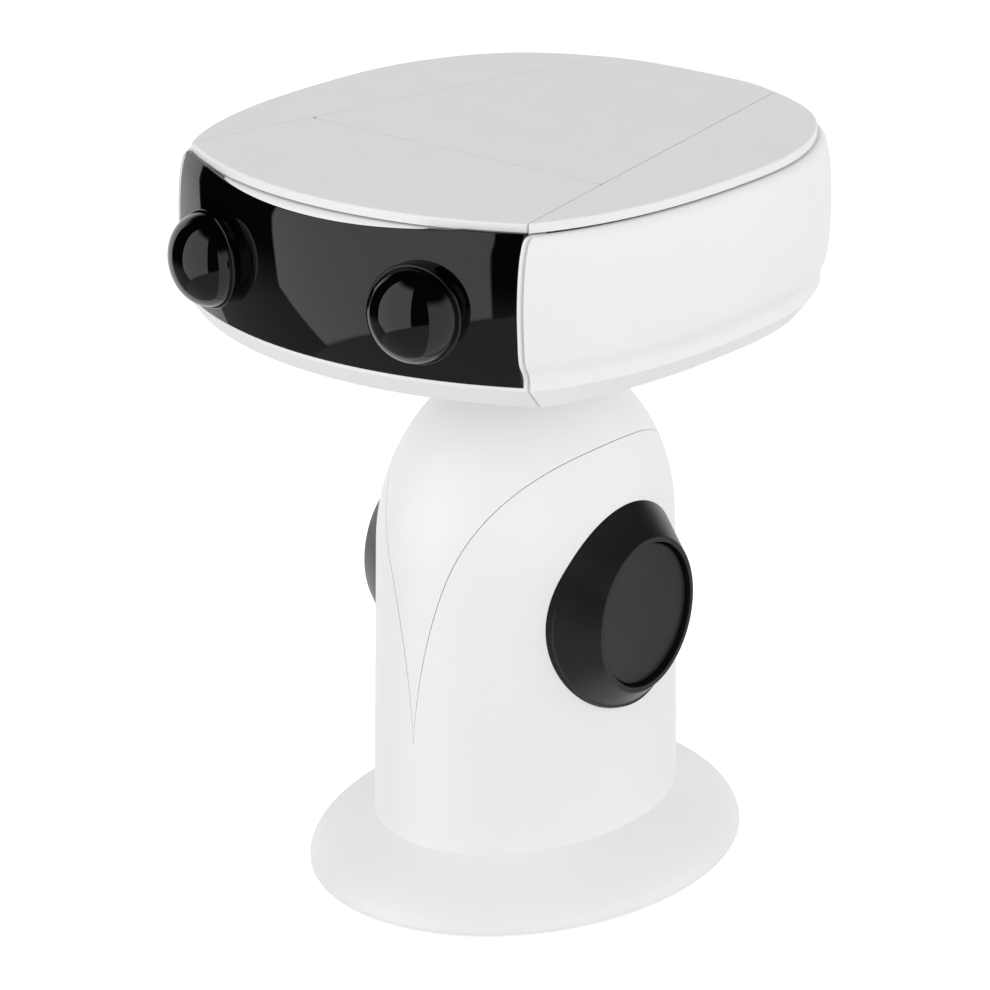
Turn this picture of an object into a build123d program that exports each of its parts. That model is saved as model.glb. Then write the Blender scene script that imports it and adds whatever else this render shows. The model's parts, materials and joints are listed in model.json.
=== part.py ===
"""Desktop robot with a stereo camera head that pans and tilts on a pillar body.

Millimetres. +Z is up, the face looks along -Y, and the origin is where the body's
vertical axis meets the desk.
"""

import os
from math import asin, cos, pi, radians, sin, sqrt

from build123d import *

# ---------------------------------------------------------------- driving dimensions
WALL = 2.4  # moulded shell thickness
SEAM = 0.3  # parting line between two shells
FIT = 0.05  # radial running clearance of a shaft or stem
GAP = 0.6  # clearance where one moving body passes another

# base
BASE_HALF = (80.8, 97.0)  # half width and half depth of the rim
PAD_HALF = (62.0, 78.0)
PAD_HEIGHT = 0.9
RIM_TOP = 1.9
BASE_TOP = 22.3
FLARE_POWER = 0.6
FLARE_STEPS = 5
COVER_TOP = 3.1
BALLAST_HALF = (44.0, 60.0)
BALLAST_HEIGHT = 6.0
BOSS_PLACES = [(50.2, 61.5), (-50.2, 61.5), (50.2, -61.5), (-50.2, -61.5)]
BOSS_RADIUS = 4.0
SCREW_RADIUS = 1.5
SCREW_HEAD_RADIUS = 2.9
SCREW_LENGTH = 6.8

# body
BODY_HALF = (54.5, 70.4)  # at the foot
SHOULDER_HALF_X = 52.6  # where the dome starts
SHOULDER_Z = 134.9
DOME_HEIGHT = 72.5
DOME_TOP = SHOULDER_Z + DOME_HEIGHT
DOME_END = 80.0  # degrees up the dome, where the neck's collar covers it
DOME_STEPS = 8
BIB_TIP = (0.0, 65.9)  # the V seam, seen from the front
BIB_GUIDES = [(2.5, 112.0), (20.0, 165.5)]
BIB_END = (41.5, 180.6)
BIB_TIP_STRETCH = 6  # the seam's gap, measured down the narrow tip
COLLAR_RADIUS = 19.5
COLLAR_TOP = 209.0
CUP_BORE = 13.0
INLET_Z = 34.0  # centre of the power inlet
INLET_WIDTH = 9.0
INLET_HEIGHT = 3.3
COLUMN_HALF_X = 30.0
COLUMN_HALF_Y = 14.0
COLUMN_TOP = 150.0
MOTOR_RADIUS = 18.0
MOTOR_TOP = 190.0
DECK = 4.0
COLUMN_FOOT = 3.0
BOARD_THICKNESS = 1.6
CABLE_HOLE_RADIUS = 15.0
FOOT_SCREW_SPACING = (50.0, 70.0)
BEARING_RADIUS = 10.0
BEARING_SPAN = (197.0, 205.0)

# neck and head joints
NECK_BOTTOM = COLLAR_TOP + GAP
NECK_FLANGE = (18.0, 3.4)
NECK_RADIUS = 15.0
NECK_TOP = 226.0
PAN_SHAFT_RADIUS = 5.0
TILT_Z = 248.0
TILT_AXLE_RADIUS = 4.0
EAR_INNER = 16.5
EAR_OUTER = 20.0
BRACKET_INNER = 24.0
BRACKET_OUTER = 30.0
BUSH_RADIUS = 7.0
YOKE_PLATE = 3.5
YOKE_DEPTH = 24.0
EAR_HALF_Y = 9.0
AXLE_HALF = 33.5
YOKE_SCREW_SPACING = 20.0

# side buttons
POD_Z = 113.6
POD_SEAT_RADIUS = 38.0
POD_BEAD_RADIUS = 39.2
POD_BEAD_PROUD = 1.5
POD_RIM_X = 61.3
POD_RIM_HALF = (29.0, 31.6)  # along Y and Z
POD_ROOT_X = 42.0
POD_ROOT_HALF = (40.9, 52.2)
POD_RIM_WIDTH = 2.0
POD_POCKET_X = 52.5
POD_BOSS = (21.8, 44.0)
CAP_GROOVE = 0.7
CAP_BACK_X = 55.5
CAP_CROWN_RADIUS = 170.0
CAP_FRONT_X = 61.6
STEM_RADIUS = 6.0
STEM_END_X = 38.0
PRESS = 2.0  # travel of a side button
CLIP_SPAN = (42.6, 43.8)
SPRING_RADIUS = 9.0
SPRING_WIRE = 0.5

# head, seen from above
HEAD_REAR_Y = 106.9
HEAD_HALF_X = 103.2
HEAD_MID_Y = -2.0
FRONT_RADIUS = 159.5
FRONT_CENTRE_Y = 38.3
CORNER_X = 84.7  # where the wall's front arc meets its side curve
LID_CORNER_X = 81.9
OUTLINE_POWER = 2.43
# head, seen from the side: how far the wall stands out from the lid's outline
HEAD_BOTTOM = 231.0
CHAMFER_TOP = 238.5
WIDEST_Z = 267.0
WALL_TOP = 295.4
LID_BOTTOM = 296.1
LID_TOP = 299.6
LID_EDGE_ROUND = 0.9
BULGE_BOTTOM = -2.6
BULGE_CHAMFER = 2.8
BULGE_MAX = 5.9
BULGE_TOP = 1.2
BULGE_POWER = 2.2
WALL_LEVELS = (238.5, 248.0, 258.0, 267.0, 275.0, 282.0, 287.5, 291.5, 294.2, 295.4)
FRAME_WALL = 4.8  # front bezel, counted from the outer surface
CORNER_DRIFT = 0.5  # how far the corner moves inward for each unit of inset
VISOR_EDGE_X = 82.5
GROOVE_X = (83.4, 84.5)  # upright groove between the front bezel and a side cover
GROOVE_DEPTH = 1.3
REAR_SEAM_X = 43.2
VISOR_BOTTOM = 239.8
VISOR_TOP_MIDDLE = 293.3
VISOR_TOP_RADIUS = 581.0
VISOR_LIP_GAP = 0.15  # between the visor's raised corners and the lid's edge
CARRIER_BOTTOM = 293.8
CARRIER_INSET = 2.6
FLOOR_SPAN = (231.4, 233.4)
FRAME_SPAN = (233.6, 236.0)
FRAME_HALF_X = 50.0
FRAME_Y = (-84.0, 90.0)
NECK_SLOT = (45.0, 43.0)
FLOOR_SCREWS = [(40, -70), (-40, -70), (40, 76), (-40, 76)]
BOARD_BOTTOM = 279.0
BOARD_POSTS = (96.0, 100.0)
SERVO_SIZE = (29.0, 20.0, 39.5)
SEAM_FRONT = (81.9, -98.6)  # lid side seam
SEAM_REAR = (42.0, 109.0)
CROSS_SEAM_Y = -44.2
LID_SEAM = 0.65

# eyes
EYE_CENTRE = (49.2, -120.4, 266.4)
EYE_YAW = 14.0
COLLAR_EYE_RADIUS = 18.9
COLLAR_EYE_FRONT = 1.8
EYE_DOME_RADIUS = 18.6
EYE_DOME_HEIGHT = 15.0
CAMERA_BOARD_SIZE = 28.0
CAMERA_HOUSING_BACK = -15.4  # from the eye's plane, along its axis
CAMERA_HOUSING_SIZE = 20.0
CAMERA_HOUSING_CORNER = 2.0
CAMERA_HOUSING_DEPTH = 3.0
CAMERA_BARREL_RADIUS = 9.0
CAMERA_BARREL_LENGTH = 11.0
CAMERA_NOSE_RADIUS = 7.5
CAMERA_NOSE_LENGTH = 5.0
CAMERA_CUP_FRONT = 9.0  # centre of the ball that hollows the nose
CAMERA_CUP_RADIUS = 7.0
BOARD_MARGIN = 7.0  # main board, past its posts
PROCESSOR_Y = -10.0
PROCESSOR_SIZE = 24.0
CHIP_SPACING = (44.0, 30.0)
CHIP_SIZE = (12.0, 9.0)
CHIP_HEIGHT = 1.8
BATTERY_Y = 68.0
BATTERY_SIZE = (66.0, 34.0, 20.0)
BATTERY_ROUND = 6.0
LID_CUT_REACH = (-140.0, 140.0)  # past the lid's front and rear
HATCH_CORNER = 3.0
EYE_WINDOW_RADIUS = 14.5


# ---------------------------------------------------------------- shared forms
def save(piece, name):
    piece.label = name
    export_step(piece, f"parts/{name}.step")


def base_form(inset, drop):
    """Flared base from its rim up to the foot of the body, shrunk and lowered."""
    sections = []
    for step in range(FLARE_STEPS + 1):
        rise = step / FLARE_STEPS
        inward = rise ** (1 / FLARE_POWER)
        half_x = BASE_HALF[0] + inward * (BODY_HALF[0] - BASE_HALF[0]) - inset
        half_y = BASE_HALF[1] + inward * (BODY_HALF[1] - BASE_HALF[1]) - inset
        level = RIM_TOP + rise * (BASE_TOP - RIM_TOP) - drop
        with BuildSketch(Plane.XY.offset(level)) as section:
            Ellipse(half_x, half_y)
        sections.append(section.sketch)
    with BuildPart() as form:
        loft(sections)
        extrude(sections[0], amount=-(RIM_TOP - drop - PAD_HEIGHT))
    return form.part


def body_form(inset, bottom=BASE_TOP):
    """Oval pillar with a slight taper and a domed top."""
    foot = BODY_HALF[0] - inset
    shoulder = SHOULDER_HALF_X - inset
    depth = (BODY_HALF[1] - inset) / foot
    stations = [(bottom, foot)]
    for step in range(DOME_STEPS + 1):
        angle = step / DOME_STEPS * radians(DOME_END)
        level = SHOULDER_Z + (DOME_HEIGHT - inset) * sin(angle)
        stations.append((level, shoulder * cos(angle)))
    sections = []
    for level, half_x in stations:
        with BuildSketch(Plane.XY.offset(level)) as section:
            Ellipse(half_x, half_x * depth)
        sections.append(section.sketch)
    with BuildPart() as form:
        loft(sections[:2], ruled=True)
        loft(sections[1:])
    return form.part


def bib_prism(seam):
    """Everything above the V seam, widened by the seam, as a prism from front to back."""
    reach = 4 * COLLAR_RADIUS
    ceiling = DOME_TOP + COLLAR_RADIUS
    tip = (BIB_TIP[0], BIB_TIP[1] - BIB_TIP_STRETCH * seam)
    guides = [(x + seam, z - seam) for x, z in BIB_GUIDES]
    end = (BIB_END[0], BIB_END[1] - seam)
    with BuildPart() as prism:
        with BuildSketch(Plane.XZ):
            with BuildLine():
                Bezier(tip, *guides, end)
                Line(end, (reach, end[1]))
                Line((reach, end[1]), (reach, ceiling))
                Line((reach, ceiling), (0, ceiling))
                mirror(about=Plane.YZ)
            make_face()
        extrude(amount=2 * BODY_HALF[1], both=True)
    return prism.part


def front_y(grow, x):
    """Where the head's front arc stands at a given x."""
    return FRONT_CENTRE_Y - sqrt((FRONT_RADIUS + grow) ** 2 - x**2)


def side_depth(grow, corner_x):
    """Depth of the side curve that meets the front arc at the corner."""
    share = 1 - (corner_x / (HEAD_HALF_X + grow)) ** OUTLINE_POWER
    return (HEAD_MID_Y - front_y(grow, corner_x)) / share ** (1 / OUTLINE_POWER)


def head_outline(level, grow, corner_x=CORNER_X):
    """The head's plan at one level: front arc, two side curves, two rear curves."""
    corner = (corner_x, front_y(grow, corner_x))
    front = (0, front_y(grow, 0))
    depth = side_depth(grow, corner_x)
    steps = 5
    side = [corner]
    start = asin(((HEAD_MID_Y - corner[1]) / depth) ** (OUTLINE_POWER / 2))
    for step in range(1, steps):
        angle = start * (1 - step / steps)
        x = (HEAD_HALF_X + grow) * cos(angle) ** (2 / OUTLINE_POWER)
        side.append((x, HEAD_MID_Y - depth * sin(angle) ** (2 / OUTLINE_POWER)))
    side.append((HEAD_HALF_X + grow, HEAD_MID_Y))
    rear = [side[-1]]
    rear_depth = HEAD_REAR_Y - HEAD_MID_Y + grow
    for step in range(1, steps):
        angle = step / steps * pi / 2
        x = (HEAD_HALF_X + grow) * cos(angle) ** (2 / OUTLINE_POWER)
        y = HEAD_MID_Y + rear_depth * sin(angle) ** (2 / OUTLINE_POWER)
        rear.append((x, y))
    rear.append((0, HEAD_REAR_Y + grow))
    with BuildSketch(Plane.XY.offset(level)) as plan:
        with BuildLine():
            ThreePointArc((-corner[0], corner[1]), front, corner)
            Spline(*side)
            Spline(*rear, tangents=((0, 1), (-1, 0)))
            Spline(*[(-x, y) for x, y in reversed(rear)], tangents=((-1, 0), (0, -1)))
            Spline(*[(-x, y) for x, y in reversed(side)])
        make_face()
    return plan.sketch


def bulge(level):
    """How far the head's wall stands out from the lid's outline at a level."""
    if level < WIDEST_Z:
        fall = (WIDEST_Z - level) / (WIDEST_Z - CHAMFER_TOP)
        return BULGE_MAX - (BULGE_MAX - BULGE_CHAMFER) * fall**2
    rise = (level - WIDEST_Z) / (WALL_TOP - WIDEST_Z)
    round_off = 1 - (1 - rise**BULGE_POWER) ** (1 / BULGE_POWER)
    return BULGE_MAX - (BULGE_MAX - BULGE_TOP) * round_off


def head_form(inset):
    """The head's wall as a solid, shrunk by inset: chamfer below, bulge above."""
    corner_x = CORNER_X - CORNER_DRIFT * inset
    with BuildPart() as form:
        loft([head_outline(level, bulge(level) - inset, corner_x) for level in WALL_LEVELS])
        lower = head_outline(HEAD_BOTTOM, BULGE_BOTTOM - inset, corner_x)
        upper = head_outline(CHAMFER_TOP, BULGE_CHAMFER - inset, corner_x)
        loft([lower, upper], ruled=True)
    return form.part


def wall_band(outer, inner):
    """The shell between two head forms."""
    with BuildPart() as band:
        add(outer)
        add(inner, mode=Mode.SUBTRACT)
    return band.part


def plan_prism(points, bottom=HEAD_BOTTOM - GAP, top=LID_TOP + GAP):
    """Prism over a plan polygon."""
    with BuildPart() as prism:
        with BuildSketch(Plane.XY.offset(bottom)):
            with BuildLine():
                Polyline(*points, close=True)
            make_face()
        extrude(amount=top - bottom)
    return prism.part


def mirrored(points):
    return [(-x, y) for x, y in reversed(points)]


def front_wedge(half_x):
    """Prism over the head's front wall, as wide as given."""
    right = [(half_x, -2 * HEAD_HALF_X), (half_x, HEAD_MID_Y)]
    return plan_prism(right + mirrored(right))


def side_wedge():
    """Prism over the right side cover, from the corner groove to the rear seam."""
    far = 2 * HEAD_HALF_X
    near = GROOVE_X[1]
    seam = REAR_SEAM_X + SEAM / 2
    step = REAR_SEAM_X
    return plan_prism([(near, -far), (far, -far), (far, far), (seam, far), (seam, step), (near, step)])


def groove_slot():
    """Prism over the right corner groove and the side cover beyond it."""
    inner = GROOVE_X[0]
    outer = 2 * HEAD_HALF_X
    return plan_prism([(inner, -outer), (outer, -outer), (outer, HEAD_MID_Y), (inner, HEAD_MID_Y)])


def eye_plane(depth):
    """Plane across the right eye's axis, depth in front of its reference point."""
    yaw = radians(EYE_YAW)
    plane = Plane(
        origin=EYE_CENTRE,
        x_dir=(cos(yaw), sin(yaw), 0),
        z_dir=(sin(yaw), -cos(yaw), 0),
    )
    return plane.offset(depth)


def eye_rod(radius, back, front):
    """Cylinder along the right eye's axis."""
    with BuildPart() as rod:
        with BuildSketch(eye_plane(back)):
            Circle(radius)
        extrude(amount=front - back)
    return rod.part


def pod_plane(x):
    """Plane across the right side button's axis."""
    return Plane(origin=(x, 0, POD_Z), x_dir=(0, 1, 0), z_dir=(1, 0, 0))


def other_side(piece):
    """The same piece on the left."""
    with BuildPart() as copy:
        mirror(piece, about=Plane.YZ)
    return copy.part


# ---------------------------------------------------------------- base
def make_base_shell():
    with BuildPart() as base_shell:
        add(base_form(0, 0))
        add(base_form(WALL + 0.4, WALL), mode=Mode.SUBTRACT)
        with BuildSketch(Plane.XY.offset(PAD_HEIGHT)):
            Ellipse(BASE_HALF[0] - WALL - 0.4, BASE_HALF[1] - WALL - 0.4)
        extrude(amount=RIM_TOP - PAD_HEIGHT, mode=Mode.SUBTRACT)
        with BuildSketch(Plane.XY.offset(BASE_TOP)):
            Circle(CABLE_HOLE_RADIUS)
            with GridLocations(*FOOT_SCREW_SPACING, 2, 2):
                Circle(SCREW_RADIUS)
        extrude(amount=-2 * WALL, mode=Mode.SUBTRACT)
    with BuildPart() as bosses:
        with BuildSketch(Plane.XY.offset(COVER_TOP)):
            with Locations(*BOSS_PLACES):
                Circle(BOSS_RADIUS)
        extrude(amount=BASE_TOP)
        add(base_form(WALL / 2, WALL / 2), mode=Mode.INTERSECT)
        with BuildSketch(Plane.XY.offset(COVER_TOP)):
            with Locations(*BOSS_PLACES):
                Circle(SCREW_RADIUS)
        extrude(amount=4 * WALL, mode=Mode.SUBTRACT)
    with BuildPart() as whole:
        add(base_shell.part)
        add(bosses.part)
    return whole.part


def make_base_cover():
    inset = 2 * WALL
    with BuildPart() as base_cover:
        with BuildSketch(Plane.XY.offset(PAD_HEIGHT)):
            Ellipse(BASE_HALF[0] - inset, BASE_HALF[1] - inset)
        extrude(amount=COVER_TOP - PAD_HEIGHT)
        with Locations(Plane.XY.offset(PAD_HEIGHT)):
            with Locations(*[Location((x, y, 0), (180, 0, 0)) for x, y in BOSS_PLACES]):
                CounterSinkHole(SCREW_RADIUS, SCREW_HEAD_RADIUS, 2 * WALL)
    return base_cover.part


def make_foot_pad():
    with BuildPart() as foot_pad:
        with BuildSketch():
            Ellipse(*PAD_HALF)
        extrude(amount=PAD_HEIGHT)
    return foot_pad.part


def make_base_screws():
    """Four countersunk screws, heads flush with the cover's underside."""
    length = SCREW_LENGTH
    head = SCREW_HEAD_RADIUS - SCREW_RADIUS
    with BuildPart() as base_screws:
        with BuildSketch(Plane.XY.offset(PAD_HEIGHT)):
            with Locations(*BOSS_PLACES):
                Circle(SCREW_RADIUS - FIT)
        extrude(amount=length)
        for x, y in BOSS_PLACES:
            with Locations((x, y, PAD_HEIGHT)):
                Cone(
                    SCREW_HEAD_RADIUS - FIT,
                    SCREW_RADIUS - FIT,
                    head,
                    align=(Align.CENTER, Align.CENTER, Align.MIN),
                )
                Box(
                    0.7,
                    3.2,
                    0.8,
                    align=(Align.CENTER, Align.CENTER, Align.MIN),
                    mode=Mode.SUBTRACT,
                )
    return base_screws.part


def make_base_ballast():
    with BuildPart() as base_ballast:
        with BuildSketch(Plane.XY.offset(COVER_TOP)):
            Ellipse(*BALLAST_HALF)
            Circle(CABLE_HOLE_RADIUS + 1, mode=Mode.SUBTRACT)
        extrude(amount=BALLAST_HEIGHT)
    return base_ballast.part


# ---------------------------------------------------------------- body
def inlet_plane():
    """Plane across the power inlet at the body's rear surface."""
    return Plane(origin=(0, BODY_HALF[1], INLET_Z), x_dir=(-1, 0, 0), z_dir=(0, 1, 0))


def body_shell_blank():
    with BuildPart() as blank:
        add(body_form(0))
        add(body_form(WALL, BASE_TOP - WALL), mode=Mode.SUBTRACT)
        with BuildSketch(Plane.XY.offset(DOME_TOP + GAP)):
            Circle(CUP_BORE)
        extrude(amount=-6 * WALL, mode=Mode.SUBTRACT)
    return blank.part


def make_body_shell(blank):
    with BuildPart() as body_shell:
        add(blank)
        add(bib_prism(SEAM), mode=Mode.SUBTRACT)
        with BuildSketch(Plane.YZ):
            with Locations((0, POD_Z)):
                Circle(POD_BOSS[0] + FIT)
        extrude(amount=2 * BODY_HALF[0], both=True, mode=Mode.SUBTRACT)
        with BuildSketch(inlet_plane().offset(2 * WALL)):
            SlotOverall(INLET_WIDTH + 0.6, INLET_HEIGHT + 0.6)
        extrude(amount=-4 * WALL, mode=Mode.SUBTRACT)
    return body_shell.part


def make_top_cover(blank):
    """Saddle over the dome, with a bib that ends in a V at front and back."""
    with BuildPart() as collar:
        with BuildSketch(Plane.XY.offset(SHOULDER_Z)):
            Circle(COLLAR_RADIUS)
            Circle(CUP_BORE, mode=Mode.SUBTRACT)
        extrude(amount=COLLAR_TOP - SHOULDER_Z)
        fillet(collar.edges().filter_by(GeomType.CIRCLE).group_by(Axis.Z)[-1], 0.8)
        add(body_form(WALL, BASE_TOP), mode=Mode.SUBTRACT)
    with BuildPart() as top_cover:
        add(blank)
        add(bib_prism(0), mode=Mode.INTERSECT)
        add(collar.part)
    return top_cover.part


def make_chassis_column():
    """Foot plate, two uprights and the deck that carries the pan motor."""
    with BuildPart() as chassis_column:
        with BuildSketch(Plane.XY.offset(BASE_TOP)):
            Ellipse(BODY_HALF[0] - WALL - 4, BODY_HALF[1] - WALL - 8)
            Circle(CABLE_HOLE_RADIUS, mode=Mode.SUBTRACT)
            with GridLocations(*FOOT_SCREW_SPACING, 2, 2):
                Circle(SCREW_RADIUS, mode=Mode.SUBTRACT)
        extrude(amount=COLUMN_FOOT)
        with BuildSketch(Plane.XY.offset(BASE_TOP + COLUMN_FOOT)):
            with GridLocations(2 * COLUMN_HALF_X - DECK, 0, 2, 1):
                Rectangle(DECK, 2 * COLUMN_HALF_Y)
        extrude(amount=COLUMN_TOP - BASE_TOP - COLUMN_FOOT)
        with BuildSketch(Plane.XY.offset(COLUMN_TOP)):
            Ellipse(COLUMN_HALF_X + 4, COLUMN_HALF_X + 4)
        extrude(amount=DECK)
        with BuildSketch(Plane.XY.offset(POD_Z - 34)):
            Rectangle(2 * (COLUMN_HALF_X - DECK), 2 * COLUMN_HALF_Y)
        extrude(amount=DECK)
    return chassis_column.part


def make_pan_motor():
    with BuildPart() as pan_motor:
        with BuildSketch(Plane.XY.offset(COLUMN_TOP + DECK)):
            Circle(MOTOR_RADIUS)
        extrude(amount=MOTOR_TOP - COLUMN_TOP - DECK)
        with BuildSketch(Plane.XY.offset(MOTOR_TOP)):
            Circle(PAN_SHAFT_RADIUS + 2 * FIT)
        extrude(amount=-14, mode=Mode.SUBTRACT)
        chamfer(pan_motor.edges().filter_by(GeomType.CIRCLE).group_by(Axis.Z)[0], 1.5)
    return pan_motor.part


def make_bearing_cup():
    with BuildPart() as bearing_cup:
        with BuildSketch(Plane.XY.offset(MOTOR_TOP)):
            Circle(CUP_BORE - 2 * FIT)
            Circle(BEARING_RADIUS - 2, mode=Mode.SUBTRACT)
        extrude(amount=BEARING_SPAN[0] - MOTOR_TOP)
        with BuildSketch(Plane.XY.offset(BEARING_SPAN[0])):
            Circle(CUP_BORE - 2 * FIT)
            Circle(BEARING_RADIUS, mode=Mode.SUBTRACT)
        extrude(amount=BEARING_SPAN[1] - BEARING_SPAN[0])
    return bearing_cup.part


def make_pan_bearing():
    """Two races with a ball gap that the cage closes."""
    with BuildPart() as pan_bearing:
        with BuildSketch(Plane.XY.offset(BEARING_SPAN[0])):
            Circle(BEARING_RADIUS)
            Circle(PAN_SHAFT_RADIUS + FIT, mode=Mode.SUBTRACT)
        extrude(amount=BEARING_SPAN[1] - BEARING_SPAN[0])
        with BuildSketch(Plane.XY.offset(BEARING_SPAN[1])):
            Circle(BEARING_RADIUS - 1.6)
            Circle(PAN_SHAFT_RADIUS + 1.6, mode=Mode.SUBTRACT)
        extrude(amount=-1, mode=Mode.SUBTRACT)
    return pan_bearing.part


def make_usb_inlet():
    """Receptacle with its tongue, flush with the rear of the body."""
    depth = 7.5
    with BuildPart() as usb_inlet:
        with BuildSketch(inlet_plane().offset(-0.5)):
            SlotOverall(INLET_WIDTH, INLET_HEIGHT)
        extrude(amount=-depth)
        with BuildSketch(inlet_plane().offset(-0.5)):
            SlotOverall(INLET_WIDTH - 0.7, INLET_HEIGHT - 0.7)
        extrude(amount=-(depth - 1), mode=Mode.SUBTRACT)
        with BuildSketch(inlet_plane().offset(-depth + 0.5)):
            Rectangle(6.6, 0.7)
        extrude(amount=depth - 2.5)
    return usb_inlet.part


def make_inlet_board():
    """Small board under the power inlet, on a post from the foot plate."""
    board_bottom = INLET_Z - INLET_HEIGHT / 2 - BOARD_THICKNESS
    with BuildPart() as inlet_board:
        with BuildSketch(Plane.XY.offset(board_bottom)):
            with Locations((0, BODY_HALF[1] - 12)):
                Rectangle(18, 16)
        extrude(amount=BOARD_THICKNESS)
        with BuildSketch(Plane.XY.offset(BASE_TOP + COLUMN_FOOT)):
            with Locations((0, BODY_HALF[1] - 16)):
                Rectangle(12, 4)
        extrude(amount=board_bottom - BASE_TOP - COLUMN_FOOT)
    return inlet_board.part


# ---------------------------------------------------------------- side buttons
def make_button_bezel():
    """Conical surround on the body's side, with a boss that reaches inside."""
    root_reach = (POD_RIM_X - POD_ROOT_X) * 0.5
    with BuildPart() as cone:
        with BuildSketch(pod_plane(POD_RIM_X)) as rim:
            Ellipse(*POD_RIM_HALF)
        with BuildSketch(pod_plane(POD_ROOT_X)) as root:
            Ellipse(*POD_ROOT_HALF)
        loft([rim.sketch, root.sketch], ruled=True, mode=Mode.REPLACE)
        with BuildSketch(pod_plane(POD_ROOT_X - root_reach)):
            Circle(POD_SEAT_RADIUS)
        extrude(amount=2 * POD_RIM_X, mode=Mode.INTERSECT)
    with BuildPart() as bead:
        add(body_form(-POD_BEAD_PROUD, BASE_TOP))
        with BuildSketch(pod_plane(POD_ROOT_X - root_reach)):
            Circle(POD_BEAD_RADIUS)
        extrude(amount=2 * POD_RIM_X, mode=Mode.INTERSECT)
    pocket = tuple(half - POD_RIM_WIDTH for half in POD_RIM_HALF)
    with BuildPart() as button_bezel:
        add(cone.part)
        add(bead.part)
        fillet(button_bezel.edges().group_by(Axis.X)[-1], 0.8)
        add(body_form(-FIT, BASE_TOP), mode=Mode.SUBTRACT)
        with BuildSketch(pod_plane(POD_BOSS[1])):
            Circle(POD_BOSS[0])
        extrude(amount=POD_POCKET_X - POD_BOSS[1])
        with BuildSketch(pod_plane(POD_POCKET_X)):
            Ellipse(*pocket)
        extrude(amount=2 * POD_RIM_X, mode=Mode.SUBTRACT)
        with BuildSketch(pod_plane(POD_BOSS[1] + 2)):
            Circle(POD_BOSS[0] - 4)
        extrude(amount=POD_RIM_X, mode=Mode.SUBTRACT)
        with BuildSketch(pod_plane(POD_BOSS[1])):
            Circle(STEM_RADIUS + FIT)
        extrude(amount=POD_RIM_X, mode=Mode.SUBTRACT)
    return button_bezel.part


def make_button_cap():
    """Crowned oval plate on a round stem."""
    half = tuple(half - POD_RIM_WIDTH - CAP_GROOVE for half in POD_RIM_HALF)
    with BuildPart() as button_cap:
        with BuildSketch(pod_plane(CAP_BACK_X)):
            Ellipse(*half)
        extrude(amount=POD_RIM_X)
        with Locations((CAP_FRONT_X - CAP_CROWN_RADIUS, 0, POD_Z)):
            Sphere(CAP_CROWN_RADIUS, mode=Mode.INTERSECT)
        fillet(button_cap.edges().group_by(Axis.X)[-1], 0.8)
        with BuildSketch(pod_plane(STEM_END_X)):
            Circle(STEM_RADIUS)
        extrude(amount=CAP_BACK_X - STEM_END_X)
    return button_cap.part


def make_button_clip():
    """Open ring on the stem that keeps the cap from coming out."""
    with BuildPart() as button_clip:
        with BuildSketch(pod_plane(CLIP_SPAN[0])):
            Circle(STEM_RADIUS + 3)
            Circle(STEM_RADIUS, mode=Mode.SUBTRACT)
            with Locations((STEM_RADIUS + 1, 0)):
                Rectangle(6, 5, mode=Mode.SUBTRACT)
        extrude(amount=CLIP_SPAN[1] - CLIP_SPAN[0])
    return button_clip.part


def make_button_spring():
    start = POD_BOSS[1] + 2 + PRESS + SPRING_WIRE + 0.3
    end = CAP_BACK_X - SPRING_WIRE
    with BuildPart() as button_spring:
        with BuildLine() as coil:
            Helix(
                pitch=2.2,
                height=end - start,
                radius=SPRING_RADIUS,
                center=(start, 0, POD_Z),
                direction=(1, 0, 0),
            )
        with BuildSketch(Plane(origin=coil.line @ 0, z_dir=coil.line % 0)):
            Circle(SPRING_WIRE)
        sweep(path=coil.line)
    return button_spring.part


def make_switch_board():
    """Small board on the chassis upright with one tactile switch."""
    with BuildPart() as switch_board:
        with BuildSketch(pod_plane(COLUMN_HALF_X)):
            Rectangle(24, 30)
        extrude(amount=1.6)
        with BuildSketch(pod_plane(COLUMN_HALF_X + 1.6)):
            Rectangle(6, 6)
        extrude(amount=3.2)
        with BuildSketch(pod_plane(COLUMN_HALF_X + 4.8)):
            Circle(1.6)
        extrude(amount=0.7)
    return switch_board.part


# ---------------------------------------------------------------- neck
def make_pan_shaft():
    with BuildPart() as pan_shaft:
        with BuildSketch(Plane.XY.offset(MOTOR_TOP - 12)):
            Circle(PAN_SHAFT_RADIUS)
        extrude(amount=NECK_TOP - 8 - MOTOR_TOP + 12)
    return pan_shaft.part


def make_neck_post():
    with BuildPart() as neck_post:
        with BuildSketch(Plane.XY.offset(NECK_BOTTOM)):
            Circle(NECK_FLANGE[0])
        extrude(amount=NECK_FLANGE[1])
        with BuildSketch(Plane.XY.offset(NECK_BOTTOM)):
            Circle(NECK_RADIUS)
        extrude(amount=NECK_TOP - NECK_BOTTOM)
        rings = neck_post.edges().filter_by(GeomType.CIRCLE).sort_by(Axis.Z)
        fillet([rings[0], rings[1], rings[2]], 0.7)
        with BuildSketch(Plane.XY.offset(NECK_BOTTOM)):
            Circle(PAN_SHAFT_RADIUS)
        extrude(amount=NECK_TOP - 8 - NECK_BOTTOM, mode=Mode.SUBTRACT)
        with BuildSketch(Plane.XY.offset(NECK_TOP)):
            with GridLocations(YOKE_SCREW_SPACING, 0, 2, 1):
                Circle(SCREW_RADIUS)
        extrude(amount=-7, mode=Mode.SUBTRACT)
    return neck_post.part


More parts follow.
